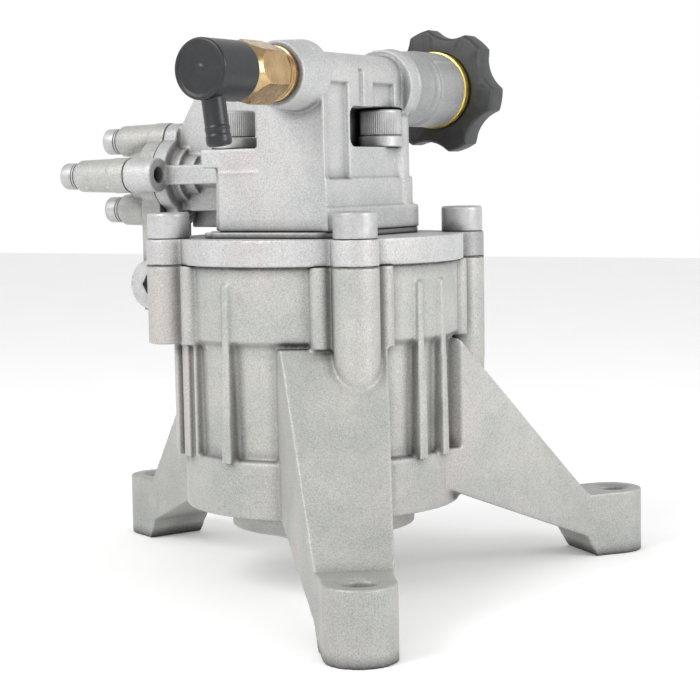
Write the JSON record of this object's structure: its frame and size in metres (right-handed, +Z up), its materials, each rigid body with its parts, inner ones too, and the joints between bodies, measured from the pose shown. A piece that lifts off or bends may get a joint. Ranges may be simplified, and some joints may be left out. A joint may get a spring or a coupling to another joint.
{
  "type": "pressure washer pump",
  "caption": "Vertical-shaft axial plunger pump on cast legs, with a manifold head, thermal relief valve and knob-set unloader.",
  "frame": {"origin": "drive shaft axis, in the plane on which the three feet stand", "axes": "+Z up the drive shaft axis towards the head; -Y towards the relief valve, +Y towards the unloader knob, -X towards the valve cover"},
  "size_m": [0.176, 0.1811, 0.1721],
  "materials": {
    "cast_aluminium": "blasted die casting, fine grain",
    "plated_steel": "zinc plated, satin",
    "ground_steel": "ground",
    "spring_steel": "drawn wire",
    "brass": "machined, bright",
    "black_plastic": "moulded, satin",
    "knob_plastic": "moulded, fine matt grain",
    "valve_plastic": "moulded",
    "seal_rubber": "smooth",
    "gasket_paper": "pressed fibre"
  },
  "bodies": {
    "housing": {"casing": "cast_aluminium", "oil_plug": "black_plastic", "casing_gasket": "gasket_paper", "guide_flange": "cast_aluminium", "valve_plate": "cast_aluminium", "pump_head": "cast_aluminium", "valve_cover": "cast_aluminium", "gallery_plug": "plated_steel", "flange_bolts": "plated_steel", "head_bolts": "plated_steel", "head_bolt_washers": "plated_steel", "cover_screws": "plated_steel", "cover_screw_washers": "plated_steel", "bearing_outer_race": "ground_steel", "retaining_ring": "plated_steel", "shaft_seal": "seal_rubber", "piston_spring_1": "spring_steel", "piston_spring_2": "spring_steel", "piston_spring_3": "spring_steel", "oil_seals": "seal_rubber", "seal_spacers": "valve_plastic", "water_seals": "seal_rubber", "outlet_valve_cages": "valve_plastic", "inlet_valve_cages": "valve_plastic", "outlet_valve_spring_1": "spring_steel", "outlet_valve_spring_2": "spring_steel", "outlet_valve_spring_3": "spring_steel", "inlet_valve_spring_1": "spring_steel", "inlet_valve_spring_2": "spring_steel", "inlet_valve_spring_3": "spring_steel", "relief_valve_body": "brass", "relief_spring": "spring_steel", "unloader_seat": "brass", "unloader_o_ring": "seal_rubber", "unloader_spring": "spring_steel", "unloader_lock_ring": "brass", "water_inlet_fitting": "black_plastic", "inlet_strainer": "valve_plastic", "outlet_fitting": "brass"},
    "rotor": {"drive_shaft": "ground_steel", "swash_plate": "ground_steel", "thrust_needles": "ground_steel", "thrust_race": "ground_steel", "bearing_inner_race": "ground_steel"},
    "ball_set": {"bearing_balls": "ground_steel", "bearing_cage": "ground_steel"},
    "piston_1": {"piston_1": "ground_steel"},
    "piston_2": {"piston_2": "ground_steel"},
    "piston_3": {"piston_3": "ground_steel"},
    "outlet_poppet_1": {"outlet_poppet_1": "valve_plastic"},
    "outlet_poppet_2": {"outlet_poppet_2": "valve_plastic"},
    "outlet_poppet_3": {"outlet_poppet_3": "valve_plastic"},
    "inlet_poppet_1": {"inlet_poppet_1": "valve_plastic"},
    "inlet_poppet_2": {"inlet_poppet_2": "valve_plastic"},
    "inlet_poppet_3": {"inlet_poppet_3": "valve_plastic"},
    "relief_plunger": {"relief_plunger": "brass"},
    "relief_cap": {"relief_cap": "black_plastic"},
    "unloader_plunger": {"unloader_plunger": "ground_steel"},
    "unloader_pusher": {"unloader_pusher": "ground_steel"},
    "unloader_knob": {"unloader_knob": "knob_plastic"}
  },
  "joints": [
    {"name": "shaft_turn", "type": "hinge", "parent": "housing", "child": "rotor", "pos_m": [0, 0, 0.03], "axis": [0, 0, 1], "continuous": true},
    {"name": "ball_set_turn", "type": "hinge", "parent": "housing", "child": "ball_set", "pos_m": [0, 0, 0.037], "axis": [0, 0, 1], "continuous": true},
    {"name": "piston_1_slide", "type": "slide", "parent": "housing", "child": "piston_1", "axis": [0, 0, 1], "range_m": [0, 0.0046], "stiffness_N_per_m": 4000, "springref_m": -0.003, "deforming": ["piston_spring_1"]},
    {"name": "piston_2_slide", "type": "slide", "parent": "housing", "child": "piston_2", "axis": [0, 0, 1], "range_m": [0, 0.0046], "stiffness_N_per_m": 4000, "springref_m": -0.003, "deforming": ["piston_spring_2"]},
    {"name": "piston_3_slide", "type": "slide", "parent": "housing", "child": "piston_3", "axis": [0, 0, 1], "range_m": [0, 0.0046], "stiffness_N_per_m": 4000, "springref_m": -0.003, "deforming": ["piston_spring_3"]},
    {"name": "outlet_poppet_1_lift", "type": "slide", "parent": "housing", "child": "outlet_poppet_1", "axis": [0, 0, 1], "range_m": [0, 0.002], "stiffness_N_per_m": 60, "springref_m": -0.002, "deforming": ["outlet_valve_spring_1"]},
    {"name": "outlet_poppet_2_lift", "type": "slide", "parent": "housing", "child": "outlet_poppet_2", "axis": [0, 0, 1], "range_m": [0, 0.002], "stiffness_N_per_m": 60, "springref_m": -0.002, "deforming": ["outlet_valve_spring_2"]},
    {"name": "outlet_poppet_3_lift", "type": "slide", "parent": "housing", "child": "outlet_poppet_3", "axis": [0, 0, 1], "range_m": [0, 0.002], "stiffness_N_per_m": 60, "springref_m": -0.002, "deforming": ["outlet_valve_spring_3"]},
    {"name": "inlet_poppet_1_lift", "type": "slide", "parent": "housing", "child": "inlet_poppet_1", "axis": [0, 0, -1], "range_m": [0, 0.002], "stiffness_N_per_m": 60, "springref_m": -0.002, "deforming": ["inlet_valve_spring_1"]},
    {"name": "inlet_poppet_2_lift", "type": "slide", "parent": "housing", "child": "inlet_poppet_2", "axis": [0, 0, -1], "range_m": [0, 0.002], "stiffness_N_per_m": 60, "springref_m": -0.002, "deforming": ["inlet_valve_spring_2"]},
    {"name": "inlet_poppet_3_lift", "type": "slide", "parent": "housing", "child": "inlet_poppet_3", "axis": [0, 0, -1], "range_m": [0, 0.002], "stiffness_N_per_m": 60, "springref_m": -0.002, "deforming": ["inlet_valve_spring_3"]},
    {"name": "relief_plunger_lift", "type": "slide", "parent": "housing", "child": "relief_plunger", "axis": [0, -1, 0], "range_m": [0, 0.003], "stiffness_N_per_m": 1500, "springref_m": -0.003, "deforming": ["relief_spring"]},
    {"name": "relief_cap_swivel", "type": "hinge", "parent": "housing", "child": "relief_cap", "pos_m": [0.0135, -0.07, 0.1541], "axis": [0, -1, 0], "continuous": true},
    {"name": "unloader_plunger_slide", "type": "slide", "parent": "housing", "child": "unloader_plunger", "axis": [0, 1, 0], "range_m": [0, 0.003], "stiffness_N_per_m": 6000, "springref_m": -0.004, "deforming": ["unloader_spring"]},
    {"name": "pusher_slide", "type": "slide", "parent": "housing", "child": "unloader_pusher", "axis": [0, 1, 0], "range_m": [0, 0.0045], "deforming": ["unloader_spring"]},
    {"name": "knob_turn", "type": "hinge", "parent": "unloader_pusher", "child": "unloader_knob", "pos_m": [0.0135, 0.055, 0.1522], "axis": [0, 1, 0], "range_deg": [0, 1080]}
  ],
  "couplings": [
    {"joint": "ball_set_turn", "follows": "shaft_turn", "ratio": 0.4134},
    {"joint": "knob_turn", "follows": "pusher_slide", "rad_per_m": 4188}
  ]
}
